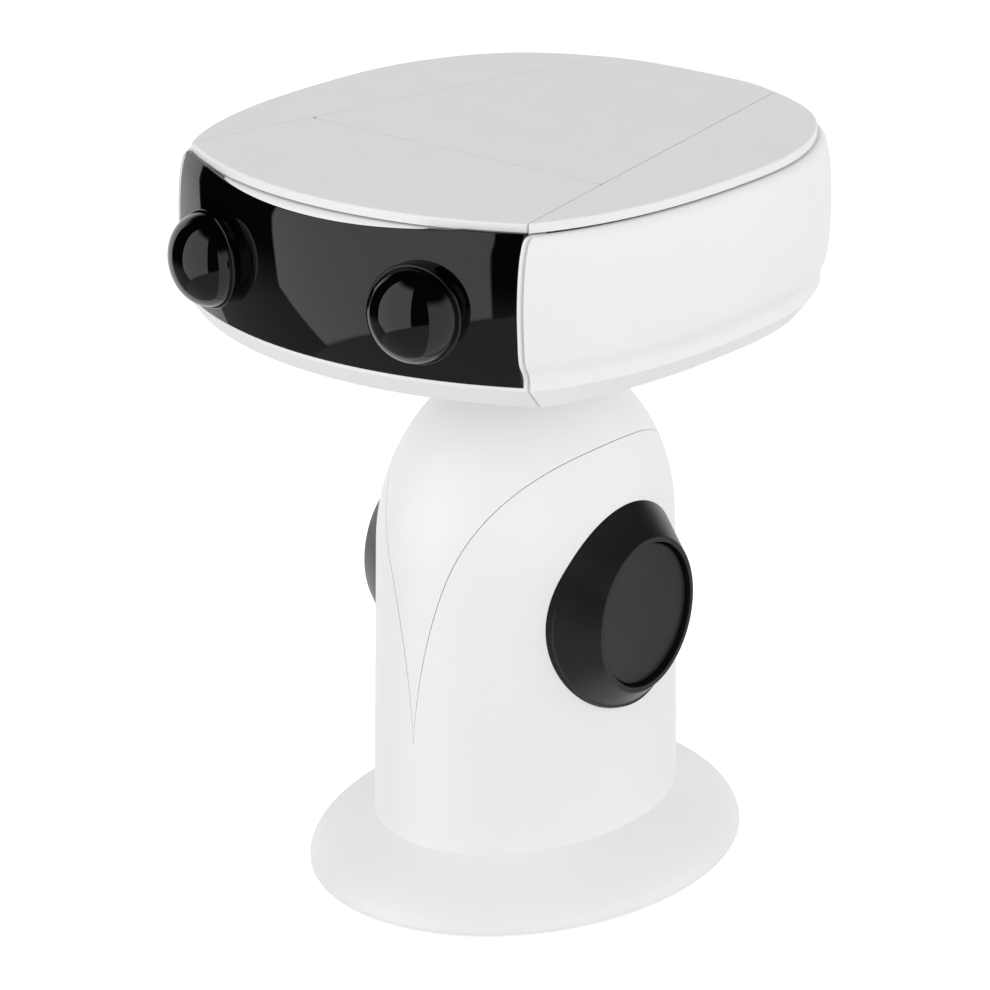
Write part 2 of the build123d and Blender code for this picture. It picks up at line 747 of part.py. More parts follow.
def make_tilt_yoke():
    """U-shaped bracket: a plate on the neck and two ears for the tilt axle."""
    with BuildPart() as tilt_yoke:
        with BuildSketch(Plane.XY.offset(NECK_TOP)):
            RectangleRounded(2 * EAR_OUTER, YOKE_DEPTH, 4)
            with GridLocations(YOKE_SCREW_SPACING, 0, 2, 1):
                Circle(SCREW_RADIUS, mode=Mode.SUBTRACT)
        extrude(amount=YOKE_PLATE)
        with BuildSketch(Plane.YZ.offset(-EAR_OUTER)) as ears:
            with BuildLine():
                Line((EAR_HALF_Y, NECK_TOP + YOKE_PLATE), (EAR_HALF_Y, TILT_Z))
                ThreePointArc(
                    (EAR_HALF_Y, TILT_Z), (0, TILT_Z + EAR_HALF_Y), (-EAR_HALF_Y, TILT_Z)
                )
                Line((-EAR_HALF_Y, TILT_Z), (-EAR_HALF_Y, NECK_TOP + YOKE_PLATE))
                Line(
                    (-EAR_HALF_Y, NECK_TOP + YOKE_PLATE), (EAR_HALF_Y, NECK_TOP + YOKE_PLATE)
                )
            make_face()
            with Locations((0, TILT_Z)):
                Circle(TILT_AXLE_RADIUS, mode=Mode.SUBTRACT)
        extrude(ears.sketch, amount=EAR_OUTER - EAR_INNER)
        extrude(
            ears.sketch.moved(Location((EAR_OUTER + EAR_INNER, 0, 0))),
            amount=EAR_OUTER - EAR_INNER,
        )
    return tilt_yoke.part


def make_yoke_screws():
    with BuildPart() as yoke_screws:
        with BuildSketch(Plane.XY.offset(NECK_TOP + YOKE_PLATE)):
            with GridLocations(YOKE_SCREW_SPACING, 0, 2, 1):
                Circle(SCREW_RADIUS)
        extrude(amount=-(YOKE_PLATE + 6))
        with BuildSketch(Plane.XY.offset(NECK_TOP + YOKE_PLATE)):
            with GridLocations(YOKE_SCREW_SPACING, 0, 2, 1):
                Circle(SCREW_HEAD_RADIUS)
                RegularPolygon(1.3, 6, mode=Mode.SUBTRACT)
        extrude(amount=1.8)
    return yoke_screws.part


def make_tilt_axle():
    with BuildPart() as tilt_axle:
        with BuildSketch(Plane.YZ.offset(-AXLE_HALF + 2)):
            with Locations((0, TILT_Z)):
                Circle(TILT_AXLE_RADIUS)
        extrude(amount=2 * AXLE_HALF - 2)
        chamfer(tilt_axle.edges().filter_by(GeomType.CIRCLE), 0.4)
    return tilt_axle.part


# ---------------------------------------------------------------- head
def make_head_floor():
    """Underside of the head, inside the side covers, with the neck's slot."""
    inset = BULGE_BOTTOM - WALL - 2 * SEAM
    with BuildPart() as head_floor:
        plan = head_outline(FLOOR_SPAN[0], inset, CORNER_X - WALL)
        extrude(plan, amount=FLOOR_SPAN[1] - FLOOR_SPAN[0])
        with BuildSketch(Plane.XY.offset(FLOOR_SPAN[0])):
            RectangleRounded(*NECK_SLOT, 6)
            with Locations(*FLOOR_SCREWS):
                Circle(SCREW_RADIUS)
        extrude(amount=2 * WALL, mode=Mode.SUBTRACT)
    return head_floor.part


def make_floor_screws():
    with BuildPart() as floor_screws:
        with BuildSketch(Plane.XY.offset(FLOOR_SPAN[0])):
            with Locations(*FLOOR_SCREWS):
                Circle(SCREW_RADIUS - FIT)
        extrude(amount=FRAME_SPAN[1] - FLOOR_SPAN[0] - 0.4)
        with BuildSketch(Plane.XY.offset(FLOOR_SPAN[0])):
            with Locations(*FLOOR_SCREWS):
                Circle(SCREW_HEAD_RADIUS)
                RegularPolygon(1.3, 6, mode=Mode.SUBTRACT)
        extrude(amount=-1.2)
    return floor_screws.part


def make_head_frame():
    """Inner plate with two brackets for the tilt bushes and four board posts."""
    bracket = BRACKET_OUTER - BRACKET_INNER
    height = TILT_Z + BUSH_RADIUS + 4 - FRAME_SPAN[1]
    with BuildPart() as head_frame:
        with BuildSketch(Plane.XY.offset(FRAME_SPAN[0])):
            with Locations((0, (FRAME_Y[0] + FRAME_Y[1]) / 2)):
                RectangleRounded(2 * FRAME_HALF_X, FRAME_Y[1] - FRAME_Y[0], 12)
            RectangleRounded(*NECK_SLOT, 6, mode=Mode.SUBTRACT)
            with Locations(*FLOOR_SCREWS):
                Circle(SCREW_RADIUS, mode=Mode.SUBTRACT)
        extrude(amount=FRAME_SPAN[1] - FRAME_SPAN[0])
        with BuildSketch(Plane.XY.offset(FRAME_SPAN[1])):
            with GridLocations(BRACKET_INNER + BRACKET_OUTER, 0, 2, 1):
                Rectangle(bracket, YOKE_DEPTH)
        extrude(amount=height)
        with BuildSketch(Plane.YZ):
            with Locations((0, TILT_Z)):
                Circle(BUSH_RADIUS)
        extrude(amount=2 * BRACKET_OUTER, both=True, mode=Mode.SUBTRACT)
        with BuildSketch(Plane.XY.offset(FRAME_SPAN[1])):
            with GridLocations(BOARD_POSTS[0], BOARD_POSTS[1], 2, 2):
                Circle(2.6)
        extrude(amount=BOARD_BOTTOM - FRAME_SPAN[1])
    return head_frame.part


def make_tilt_bushes():
    with BuildPart() as tilt_bushes:
        with BuildSketch(Plane.YZ.offset(-BRACKET_OUTER)) as ring:
            with Locations((0, TILT_Z)):
                Circle(BUSH_RADIUS)
                Circle(TILT_AXLE_RADIUS + FIT, mode=Mode.SUBTRACT)
        extrude(ring.sketch, amount=BRACKET_OUTER - BRACKET_INNER)
        extrude(
            ring.sketch.moved(Location((BRACKET_OUTER + BRACKET_INNER, 0, 0))),
            amount=BRACKET_OUTER - BRACKET_INNER,
        )
    return tilt_bushes.part


def make_tilt_servo():
    """Servo beside the right bracket; the axle's end sits in its hub."""
    with BuildPart() as tilt_servo:
        with Locations((BRACKET_OUTER + 1, 0, FRAME_SPAN[1])):
            Box(*SERVO_SIZE, align=(Align.MIN, Align.CENTER, Align.MIN))
        fillet(tilt_servo.edges().filter_by(Axis.Z), 1.5)
        with BuildSketch(Plane.YZ.offset(BRACKET_OUTER)):
            with Locations((0, TILT_Z)):
                Circle(TILT_AXLE_RADIUS + FIT)
        extrude(amount=AXLE_HALF - BRACKET_OUTER + 0.5, mode=Mode.SUBTRACT)
    return tilt_servo.part


def visor_prism():
    """Front view of the visor: level bottom, gently dished top."""
    reach = 130.0
    rise = VISOR_TOP_RADIUS - sqrt(VISOR_TOP_RADIUS**2 - reach**2)
    top = VISOR_TOP_MIDDLE
    with BuildPart() as prism:
        with BuildSketch(Plane.XZ):
            with BuildLine():
                ThreePointArc((-reach, top + rise), (0, top), (reach, top + rise))
                Line((reach, top + rise), (reach, VISOR_BOTTOM))
                Line((reach, VISOR_BOTTOM), (-reach, VISOR_BOTTOM))
                Line((-reach, VISOR_BOTTOM), (-reach, top + rise))
            make_face()
        extrude(amount=2 * HEAD_HALF_X)
    return prism.part


def eye_windows(piece, radius):
    """Cut both round eye windows through a piece."""
    window = eye_rod(radius, -26, 12)
    with BuildPart() as cut:
        add(piece)
        add(window, mode=Mode.SUBTRACT)
        mirror(window, about=Plane.YZ, mode=Mode.SUBTRACT)
    return cut.part


def visor_volume(outer, skin):
    """The visor before its eye windows; its corners rise in front of the lid's edge."""
    rise = LID_TOP - WALL_TOP
    with BuildPart() as lip:
        extrude(head_outline(WALL_TOP, BULGE_TOP), amount=rise)
        extrude(head_outline(WALL_TOP, VISOR_LIP_GAP), amount=rise, mode=Mode.SUBTRACT)
    with BuildPart() as volume:
        add(wall_band(outer, skin))
        add(lip.part)
        add(front_wedge(VISOR_EDGE_X), mode=Mode.INTERSECT)
        add(visor_prism(), mode=Mode.INTERSECT)
    return volume.part


def make_front_bezel(outer, groove_floor, inner, visor_body):
    """White frame round the visor: chin, brow, backing and the groove's floor."""
    with BuildPart() as groove:
        add(wall_band(outer, groove_floor))
        add(groove_slot(), mode=Mode.INTERSECT)
    floor_corner = CORNER_X - WALL
    with BuildPart() as front_bezel:
        add(wall_band(outer, inner))
        add(front_wedge(GROOVE_X[1] - SEAM / 2), mode=Mode.INTERSECT)
        add(visor_body, mode=Mode.SUBTRACT)
        add(groove.part, mode=Mode.SUBTRACT)
        mirror(groove.part, about=Plane.YZ, mode=Mode.SUBTRACT)
        floor_rebate = head_outline(HEAD_BOTTOM, BULGE_BOTTOM - WALL - SEAM, floor_corner)
        extrude(floor_rebate, amount=FRAME_SPAN[0] - HEAD_BOTTOM, mode=Mode.SUBTRACT)
        lid_rebate = head_outline(CARRIER_BOTTOM - SEAM, SEAM - CARRIER_INSET, LID_CORNER_X)
        extrude(lid_rebate, amount=LID_TOP - CARRIER_BOTTOM, mode=Mode.SUBTRACT)
    return eye_windows(front_bezel.part, EYE_WINDOW_RADIUS)


def make_side_cover(outer, skin):
    with BuildPart() as side_cover:
        add(wall_band(outer, skin))
        add(side_wedge(), mode=Mode.INTERSECT)
    return side_cover.part


def make_rear_cover(outer, skin):
    seam = REAR_SEAM_X - SEAM / 2
    far = 2 * HEAD_HALF_X
    with BuildPart() as rear_cover:
        add(wall_band(outer, skin))
        wedge = plan_prism([(-seam, seam), (seam, seam), (seam, far), (-seam, far)])
        add(wedge, mode=Mode.INTERSECT)
    return rear_cover.part


def make_lid_carrier():
    """Plate under the lid panels; its edge is the floor of the groove below them."""
    with BuildPart() as lid_carrier:
        plan = head_outline(CARRIER_BOTTOM, -CARRIER_INSET, LID_CORNER_X)
        extrude(plan, amount=LID_BOTTOM - CARRIER_BOTTOM)
        with BuildSketch(Plane.XY.offset(CARRIER_BOTTOM)):
            with Locations((0, 30)):
                RectangleRounded(70, 60, 6)
        extrude(amount=LID_BOTTOM, mode=Mode.SUBTRACT)
    return lid_carrier.part


def seam_x(y):
    """Half width between the lid's two side seams at a given y."""
    part_way = (y - SEAM_FRONT[1]) / (SEAM_REAR[1] - SEAM_FRONT[1])
    return SEAM_FRONT[0] + part_way * (SEAM_REAR[0] - SEAM_FRONT[0])


def lid_section(angle):
    """The lid's plan at a given turn round its rounded top edge."""
    level = LID_TOP - LID_EDGE_ROUND * (1 - sin(angle))
    return head_outline(level, LID_EDGE_ROUND * (cos(angle) - 1), LID_CORNER_X)


def lid_blank():
    """The whole lid before it is cut into panels, with its top edge rounded."""
    plan = head_outline(LID_BOTTOM, 0, LID_CORNER_X)
    steps = 4
    with BuildPart() as blank:
        extrude(plan, amount=LID_TOP - LID_BOTTOM - LID_EDGE_ROUND)
        for step in range(steps):
            low = step / steps * pi / 2
            high = (step + 1) / steps * pi / 2
            loft([lid_section(low), lid_section(high)], ruled=True)
    return blank.part


def lid_panel(blank, points):
    with BuildPart() as panel:
        add(blank)
        add(plan_prism(points), mode=Mode.INTERSECT)
    return panel.part


def make_lid_centre_panels(blank):
    """Front panel and rear hatch, between the two side seams."""
    half = LID_SEAM / 2
    front, rear = LID_CUT_REACH
    middle = CROSS_SEAM_Y
    front_right = [(seam_x(middle - half) - half, middle - half), (seam_x(front) - half, front)]
    rear_right = [(seam_x(rear) - half, rear), (seam_x(middle + half) - half, middle + half)]
    lid_front = lid_panel(blank, mirrored(front_right) + front_right)
    hatch = lid_panel(blank, mirrored(rear_right) + rear_right)
    with BuildPart() as lid_rear:
        add(hatch)
        corners = lid_rear.edges().filter_by(Axis.Z).group_by(Axis.Y)[0]
        fillet(corners, HATCH_CORNER)
    return lid_front, lid_rear.part


def make_lid_side(blank):
    half = LID_SEAM / 2
    front, rear = LID_CUT_REACH
    inner = [(seam_x(rear) + half, rear), (seam_x(front) + half, front)]
    return lid_panel(blank, inner + [(rear, front), (rear, rear)])


# ---------------------------------------------------------------- eyes and electronics
def make_eye_collar():
    """Short tube round the eye, set into the visor."""
    with BuildPart() as eye_collar:
        add(eye_rod(EYE_WINDOW_RADIUS - FIT, -12, 0))
        add(eye_rod(COLLAR_EYE_RADIUS, -9, COLLAR_EYE_FRONT))
        add(eye_rod(EYE_WINDOW_RADIUS - 2, -14, 12), mode=Mode.SUBTRACT)
    return eye_collar.part


def trim_collar(collar, outer):
    """Keep the collar's wide part outside the visor's surface."""
    with BuildPart() as inside:
        add(collar)
        add(eye_rod(EYE_WINDOW_RADIUS - FIT, -14, 12), mode=Mode.INTERSECT)
    with BuildPart() as outside:
        add(collar)
        add(outer, mode=Mode.SUBTRACT)
    with BuildPart() as eye_collar:
        add(outside.part)
        add(inside.part)
    return eye_collar.part


def make_eye_dome():
    """Thin cap of a ball, standing on the collar."""
    thickness = 1.5
    ball = (EYE_DOME_RADIUS**2 + EYE_DOME_HEIGHT**2) / (2 * EYE_DOME_HEIGHT)
    centre = eye_plane(COLLAR_EYE_FRONT + EYE_DOME_HEIGHT - ball)
    with BuildPart() as eye_dome:
        with Locations(centre):
            Sphere(ball)
            Sphere(ball - thickness, mode=Mode.SUBTRACT)
        with BuildSketch(eye_plane(COLLAR_EYE_FRONT)):
            Circle(EYE_DOME_RADIUS)
        extrude(amount=2 * EYE_DOME_HEIGHT, mode=Mode.INTERSECT)
    return eye_dome.part


def make_camera():
    """Lens barrel on its own small board."""
    board_back = CAMERA_HOUSING_BACK - BOARD_THICKNESS
    barrel_back = CAMERA_HOUSING_BACK + CAMERA_HOUSING_DEPTH
    nose_back = barrel_back + CAMERA_BARREL_LENGTH
    with BuildPart() as camera:
        with BuildSketch(eye_plane(board_back)):
            Rectangle(CAMERA_BOARD_SIZE, CAMERA_BOARD_SIZE)
        extrude(amount=BOARD_THICKNESS)
        with BuildSketch(eye_plane(CAMERA_HOUSING_BACK)):
            RectangleRounded(CAMERA_HOUSING_SIZE, CAMERA_HOUSING_SIZE, CAMERA_HOUSING_CORNER)
        extrude(amount=CAMERA_HOUSING_DEPTH)
        with BuildSketch(eye_plane(barrel_back)):
            Circle(CAMERA_BARREL_RADIUS)
        extrude(amount=CAMERA_BARREL_LENGTH)
        with BuildSketch(eye_plane(nose_back)):
            Circle(CAMERA_NOSE_RADIUS)
        extrude(amount=CAMERA_NOSE_LENGTH)
        with Locations(eye_plane(CAMERA_CUP_FRONT)):
            Sphere(CAMERA_CUP_RADIUS, mode=Mode.SUBTRACT)
    return camera.part


def make_main_board():
    with BuildPart() as main_board:
        with BuildSketch(Plane.XY.offset(BOARD_BOTTOM)):
            Rectangle(BOARD_POSTS[0] + 2 * BOARD_MARGIN, BOARD_POSTS[1] + 2 * BOARD_MARGIN)
            with GridLocations(BOARD_POSTS[0], BOARD_POSTS[1], 2, 2):
                Circle(SCREW_RADIUS, mode=Mode.SUBTRACT)
        extrude(amount=BOARD_THICKNESS)
        with BuildSketch(Plane.XY.offset(BOARD_BOTTOM + BOARD_THICKNESS)):
            with Locations((0, PROCESSOR_Y)):
                Rectangle(PROCESSOR_SIZE, PROCESSOR_SIZE)
            with GridLocations(CHIP_SPACING[0], CHIP_SPACING[1], 2, 2):
                Rectangle(CHIP_SIZE[0], CHIP_SIZE[1])
        extrude(amount=CHIP_HEIGHT)
    return main_board.part


def make_battery_pack():
    with BuildPart() as battery_pack:
        with Locations((0, BATTERY_Y, FRAME_SPAN[1])):
            Box(*BATTERY_SIZE, align=(Align.CENTER, Align.CENTER, Align.MIN))
        fillet(battery_pack.edges().filter_by(Axis.X), BATTERY_ROUND)
    return battery_pack.part


# ---------------------------------------------------------------- build
os.makedirs("parts", exist_ok=True)

save(make_base_shell(), "base_shell")
save(make_base_cover(), "base_cover")
save(make_foot_pad(), "foot_pad")
save(make_base_screws(), "base_screws")
save(make_base_ballast(), "base_ballast")

pillar = body_shell_blank()
save(make_body_shell(pillar), "body_shell")
save(make_top_cover(pillar), "top_cover")
save(make_chassis_column(), "chassis_column")
save(make_pan_motor(), "pan_motor")
save(make_bearing_cup(), "bearing_cup")
save(make_pan_bearing(), "pan_bearing")
save(make_usb_inlet(), "usb_inlet")
save(make_inlet_board(), "inlet_board")

for name, make in (
    ("button_bezel", make_button_bezel),
    ("button_cap", make_button_cap),
    ("button_clip", make_button_clip),
    ("button_spring", make_button_spring),
    ("switch_board", make_switch_board),
):
    right_piece = make()
    save(right_piece, f"{name}_right")
    save(other_side(right_piece), f"{name}_left")

save(make_pan_shaft(), "pan_shaft")
save(make_neck_post(), "neck_post")
save(make_tilt_yoke(), "tilt_yoke")
save(make_yoke_screws(), "yoke_screws")
save(make_tilt_axle(), "tilt_axle")

head_outer = head_form(0)
head_groove = head_form(GROOVE_DEPTH)
head_skin = head_form(WALL)
head_inner = head_form(FRAME_WALL)

visor_body = visor_volume(head_outer, head_skin)
save(eye_windows(visor_body, EYE_WINDOW_RADIUS), "visor")
save(make_front_bezel(head_outer, head_groove, head_inner, visor_body), "front_bezel")
side_cover = make_side_cover(head_outer, head_skin)
save(side_cover, "side_cover_right")
save(other_side(side_cover), "side_cover_left")
save(make_rear_cover(head_outer, head_skin), "rear_cover")
save(make_head_floor(), "head_floor")
save(make_floor_screws(), "floor_screws")
save(make_head_frame(), "head_frame")
save(make_tilt_bushes(), "tilt_bushes")
save(make_tilt_servo(), "tilt_servo")
save(make_lid_carrier(), "lid_carrier")

lid = lid_blank()
lid_front, lid_rear = make_lid_centre_panels(lid)
save(lid_front, "lid_front")
save(lid_rear, "lid_rear")
lid_side = make_lid_side(lid)
save(lid_side, "lid_side_right")
save(other_side(lid_side), "lid_side_left")

collar = trim_collar(make_eye_collar(), head_outer)
save(collar, "eye_collar_right")
save(other_side(collar), "eye_collar_left")
dome = make_eye_dome()
save(dome, "eye_dome_right")
save(other_side(dome), "eye_dome_left")
camera = make_camera()
save(camera, "camera_right")
save(other_side(camera), "camera_left")
save(make_main_board(), "main_board")
save(make_battery_pack(), "battery_pack")
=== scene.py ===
"""Desktop robot with a pan and tilt camera head: materials, glossy pieces, light and camera."""

import json
import math

import bmesh
import bpy
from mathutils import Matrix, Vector


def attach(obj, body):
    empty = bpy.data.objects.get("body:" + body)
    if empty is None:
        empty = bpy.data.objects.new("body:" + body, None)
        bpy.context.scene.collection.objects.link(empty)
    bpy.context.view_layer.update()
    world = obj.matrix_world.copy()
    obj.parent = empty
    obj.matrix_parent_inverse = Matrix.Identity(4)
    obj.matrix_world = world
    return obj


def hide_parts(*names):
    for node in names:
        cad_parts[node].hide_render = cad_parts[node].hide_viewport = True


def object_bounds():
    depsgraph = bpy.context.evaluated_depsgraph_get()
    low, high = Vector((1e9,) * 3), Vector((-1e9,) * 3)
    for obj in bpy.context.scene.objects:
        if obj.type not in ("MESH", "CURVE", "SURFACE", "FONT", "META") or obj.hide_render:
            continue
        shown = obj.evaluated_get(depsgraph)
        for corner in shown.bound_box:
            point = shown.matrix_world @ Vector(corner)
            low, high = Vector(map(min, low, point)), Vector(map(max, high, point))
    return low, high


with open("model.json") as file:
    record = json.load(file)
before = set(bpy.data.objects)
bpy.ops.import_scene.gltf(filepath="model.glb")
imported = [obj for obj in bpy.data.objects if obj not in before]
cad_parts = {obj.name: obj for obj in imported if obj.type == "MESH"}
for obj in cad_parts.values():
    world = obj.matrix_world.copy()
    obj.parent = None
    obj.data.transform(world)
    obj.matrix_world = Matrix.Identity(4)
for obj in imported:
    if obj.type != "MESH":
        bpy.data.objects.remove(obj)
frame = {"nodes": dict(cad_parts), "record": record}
cad_low, cad_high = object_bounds()
scene = bpy.context.scene
scene.view_settings.view_transform = "Standard"

MM = 0.001

# the head's wall, in millimetres, as in the part's source
FRONT_RADIUS = 159.5
FRONT_CENTRE_Y = 38.3
CHAMFER_TOP = 238.5
WIDEST_Z = 267.0
WALL_TOP = 295.4
BULGE_CHAMFER = 2.8
BULGE_MAX = 5.9
BULGE_TOP = 1.2
BULGE_POWER = 2.2

# the visor
VISOR_EDGE_X = 82.5
VISOR_BOTTOM = 239.8
VISOR_TOP_MIDDLE = 293.3
VISOR_TOP_RADIUS = 581.0
VISOR_TOP_CORNER = 296.6
VISOR_THICKNESS = 2.3
VISOR_LEAN_START = 291.5  # above this the visor leans straight in
VISOR_LEAN = 0.34
VISOR_INNER_TOP = 0.15  # least reach of its back face past the lid's outline
VISOR_EDGE = 0.35
VISOR_COLUMNS = 132
VISOR_ROWS = 40

# the eyes
EYE_CENTRE = (50.2, -122.0, 266.1)
EYE_YAW = math.radians(14.0)
COLLAR_RADIUS = 18.6
COLLAR_FRONT = 1.8
COLLAR_BACK = -7.5
COLLAR_FOOT_RADIUS = 15.2
DOME_RADIUS = 17.7
DOME_HEIGHT = 13.0
EDGE_ROUND = 0.7
EYE_SEGMENTS = 128
DOME_STEPS = 44
COLLAR_STEPS = 6

# edges
LID_EDGE = 0.35
LID_SHARP = 50  # the least angle, in degrees, of an edge that gets a round
VISOR_SHARP = 40
SMOOTH_BELOW = 32

# camera
CAMERA_TURN = math.radians(39.66)
CAMERA_RISE = math.radians(20.94)
CAMERA_DISTANCE = 1.4505
CAMERA_LENS = 133.635
CAMERA_SHIFT = (-0.0323, -0.0225)
LOOK_AT_Z = 0.15788
SENSOR_WIDTH = 36

# surroundings as matt faces see them
HORIZON = 1.25
ZENITH = 0.44
FLOOR_COLOR = (0.74, 0.74, 0.74, 1)
FLOOR_REACH = 12.0
FLOOR_GAP = 0.0002
ROOM_FLOOR = 0.0  # the floor's own glow as it lights the object
WHITE_FLOOR = 0.6  # and as the camera sees it
LIGHT_SIZE = 1.6
LIGHTS = (  # name, place, power
    ("side_light", (2.0, -0.7, 0.8), 6.5),
    ("front_light", (-0.9, -2.0, 0.9), 10.0),
    ("rear_light", (1.7, 1.7, 0.8), 8.5),
)

# surroundings as glossy faces see them; heights are sines of the rise
FRONT_PANEL = (-52.0, 13.5, 1.3)  # bearing from straight ahead in degrees, and brightness
SIDE_PANEL = (50.0, 140.0, 0.9)
FAR_PANEL = (-200.0, -87.0, 1.0)
PANEL_EDGE = 0.4  # half the width of a panel's soft edge, in degrees
PANEL_FOOT = (-0.373, 0.00313)  # height straight ahead, and change per degree
PANEL_FOOT_EDGE = 0.012
PANEL_LEAN = (0.33, 50.0)  # below this depth its edges swing round, by degrees per unit
SIDE_FADE = (0.3, 0.6)  # where the side panels and the far one end
OVERHEAD_FADE = (0.7, 0.88)  # where everything ends
FLOOR_GLOW = 0.38
HAZE = 0.22  # glow low down in the gaps between the panels
HAZE_SPAN = (-0.2, -0.42)

# finish of every material
NOISE_SPAN = (0.3, 0.7)  # the range the noise really covers
CLOUD = (22.0, 3.0)  # scale and detail of the mottling
SMEAR = (60.0, 5.0)  # of the uneven gloss
GRAIN_DETAIL = 2.0
COAT_ROUGHNESS = 0.02
STEEL_ANISOTROPY = 0.4


# ---------------------------------------------------------------- materials
def noise(tree, scale, detail):
    """Noise in the object's own coordinates."""
    place = tree.nodes.new("ShaderNodeTexCoord")
    texture = tree.nodes.new("ShaderNodeTexNoise")
    texture.inputs["Scale"].default_value = scale
    texture.inputs["Detail"].default_value = detail
    tree.links.new(place.outputs["Object"], texture.inputs["Vector"])
    return texture.outputs["Fac"]


def between(tree, value, low, high):
    """Noise spread over low to high."""
    spread = tree.nodes.new("ShaderNodeMapRange")
    spread.inputs["From Min"].default_value = NOISE_SPAN[0]
    spread.inputs["From Max"].default_value = NOISE_SPAN[1]
    spread.inputs["To Min"].default_value = low
    spread.inputs["To Max"].default_value = high
    tree.links.new(value, spread.inputs["Value"])
    return spread.outputs["Result"]


def mottled(tree, value, color, change):
    """A colour that varies a little either side of the given one."""
    ramp = tree.nodes.new("ShaderNodeValToRGB")
    dark, bright = ramp.color_ramp.elements
    dark.position, bright.position = NOISE_SPAN
    dark.color = (*[c * (1 - change) for c in color], 1)
    bright.color = (*[min(1, c * (1 + change)) for c in color], 1)
    tree.links.new(value, ramp.inputs["Fac"])
    return ramp.outputs["Color"]


def material(name, color, change, roughness, grain, metallic=0.0, coat=0.0):
    """Moulded or machined finish: mottling, uneven gloss and a fine surface grain.

    change is the share by which the colour varies, roughness the lowest and highest
    value, and grain its scale, height in metres and strength.
    """
    made = bpy.data.materials.new(name)
    made.use_nodes = True
    tree = made.node_tree
    shader = tree.nodes["Principled BSDF"]
    cloud = noise(tree, *CLOUD)
    tree.links.new(mottled(tree, cloud, color, change), shader.inputs["Base Color"])
    smear = noise(tree, *SMEAR)
    tree.links.new(between(tree, smear, *roughness), shader.inputs["Roughness"])
    grain_scale, grain_height, grain_strength = grain
    bump = tree.nodes.new("ShaderNodeBump")
    bump.inputs["Distance"].default_value = grain_height
    bump.inputs["Strength"].default_value = grain_strength
    tree.links.new(noise(tree, grain_scale, GRAIN_DETAIL), bump.inputs["Height"])
    tree.links.new(bump.outputs["Normal"], shader.inputs["Normal"])
    shader.inputs["Metallic"].default_value = metallic
    if coat:
        shader.inputs["Coat Weight"].default_value = coat
        shader.inputs["Coat Roughness"].default_value = COAT_ROUGHNESS
    return made


def brushed(name, color):
    """Metal with a stretched highlight."""
    made = material(name, color, 0.06, (0.22, 0.38), (900.0, 0.00002, 0.3), metallic=1.0)
    shader = made.node_tree.nodes["Principled BSDF"]
    shader.inputs["Anisotropic"].default_value = STEEL_ANISOTROPY
    return made


MATERIALS = {
    "shell_white": material(
        "shell_white", (0.875, 0.875, 0.875), 0.006, (0.42, 0.52), (2600.0, 0.00003, 0.12)
    ),
    "gloss_black": material(
        "gloss_black", (0.0012, 0.0012, 0.0013), 0.2, (0.015, 0.045), (140.0, 0.00001, 0.02)
    ),
    "lens_black": material(
        "lens_black", (0.0012, 0.0012, 0.0013), 0.2, (0.01, 0.03), (140.0, 0.00001, 0.015)
    ),
    "satin_black": material(
        "satin_black", (0.006, 0.006, 0.0063), 0.08, (0.3, 0.4), (2200.0, 0.00003, 0.2)
    ),
    "rubber": material("rubber", (0.03, 0.03, 0.03), 0.15, (0.75, 0.9), (1500.0, 0.00006, 0.5)),
    "steel": brushed("steel", (0.62, 0.63, 0.65)),
    "frame_grey": material(
        "frame_grey", (0.10, 0.105, 0.115), 0.08, (0.5, 0.65), (1800.0, 0.00005, 0.4)
    ),
    "board_green": material(
        "board_green", (0.01, 0.10, 0.035), 0.12, (0.25, 0.4), (700.0, 0.00004, 0.3), coat=0.3
    ),
    "bronze": material(
        "bronze", (0.55, 0.36, 0.17), 0.08, (0.35, 0.5), (2400.0, 0.00004, 0.4), metallic=1.0
    ),
    "battery_blue": material(
        "battery_blue", (0.02, 0.06, 0.2), 0.08, (0.3, 0.45), (300.0, 0.00005, 0.3), coat=0.2
    ),
}


def paint_cad_nodes():
    """Every CAD node takes the material of its slot."""
    slots = {part["node"]: part["material_slot"] for part in frame["record"]["subparts"]}
    for name, node in frame["nodes"].items():
        node.data.materials.clear()
        node.data.materials.append(MATERIALS[slots[name]])


# ---------------------------------------------------------------- mesh helpers
def round_edges(piece, width, segments, sharp):
    """Small round, its width in millimetres, on edges sharper than an angle in degrees."""
    edge = piece.modifiers.new("edge", "BEVEL")
    edge.width = width * MM
    edge.segments = segments
    edge.limit_method = "ANGLE"
    edge.angle_limit = math.radians(sharp)
    edge.harden_normals = True


def finish_mesh(name, mesh, slot, node):
    """Turns a bmesh in millimetres into a piece on the head that stands for a CAD node."""
    bmesh.ops.recalc_face_normals(mesh, faces=mesh.faces)
    bmesh.ops.scale(mesh, vec=(MM, MM, MM), verts=mesh.verts)
    data = bpy.data.meshes.new(name)
    mesh.to_mesh(data)
    mesh.free()
    data.shade_smooth()
    data.set_sharp_from_angle(angle=math.radians(SMOOTH_BELOW))
    data.materials.append(MATERIALS[slot])
    piece = bpy.data.objects.new(name, data)
    scene.collection.objects.link(piece)
    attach(piece, "head")
    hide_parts(node)
    return piece


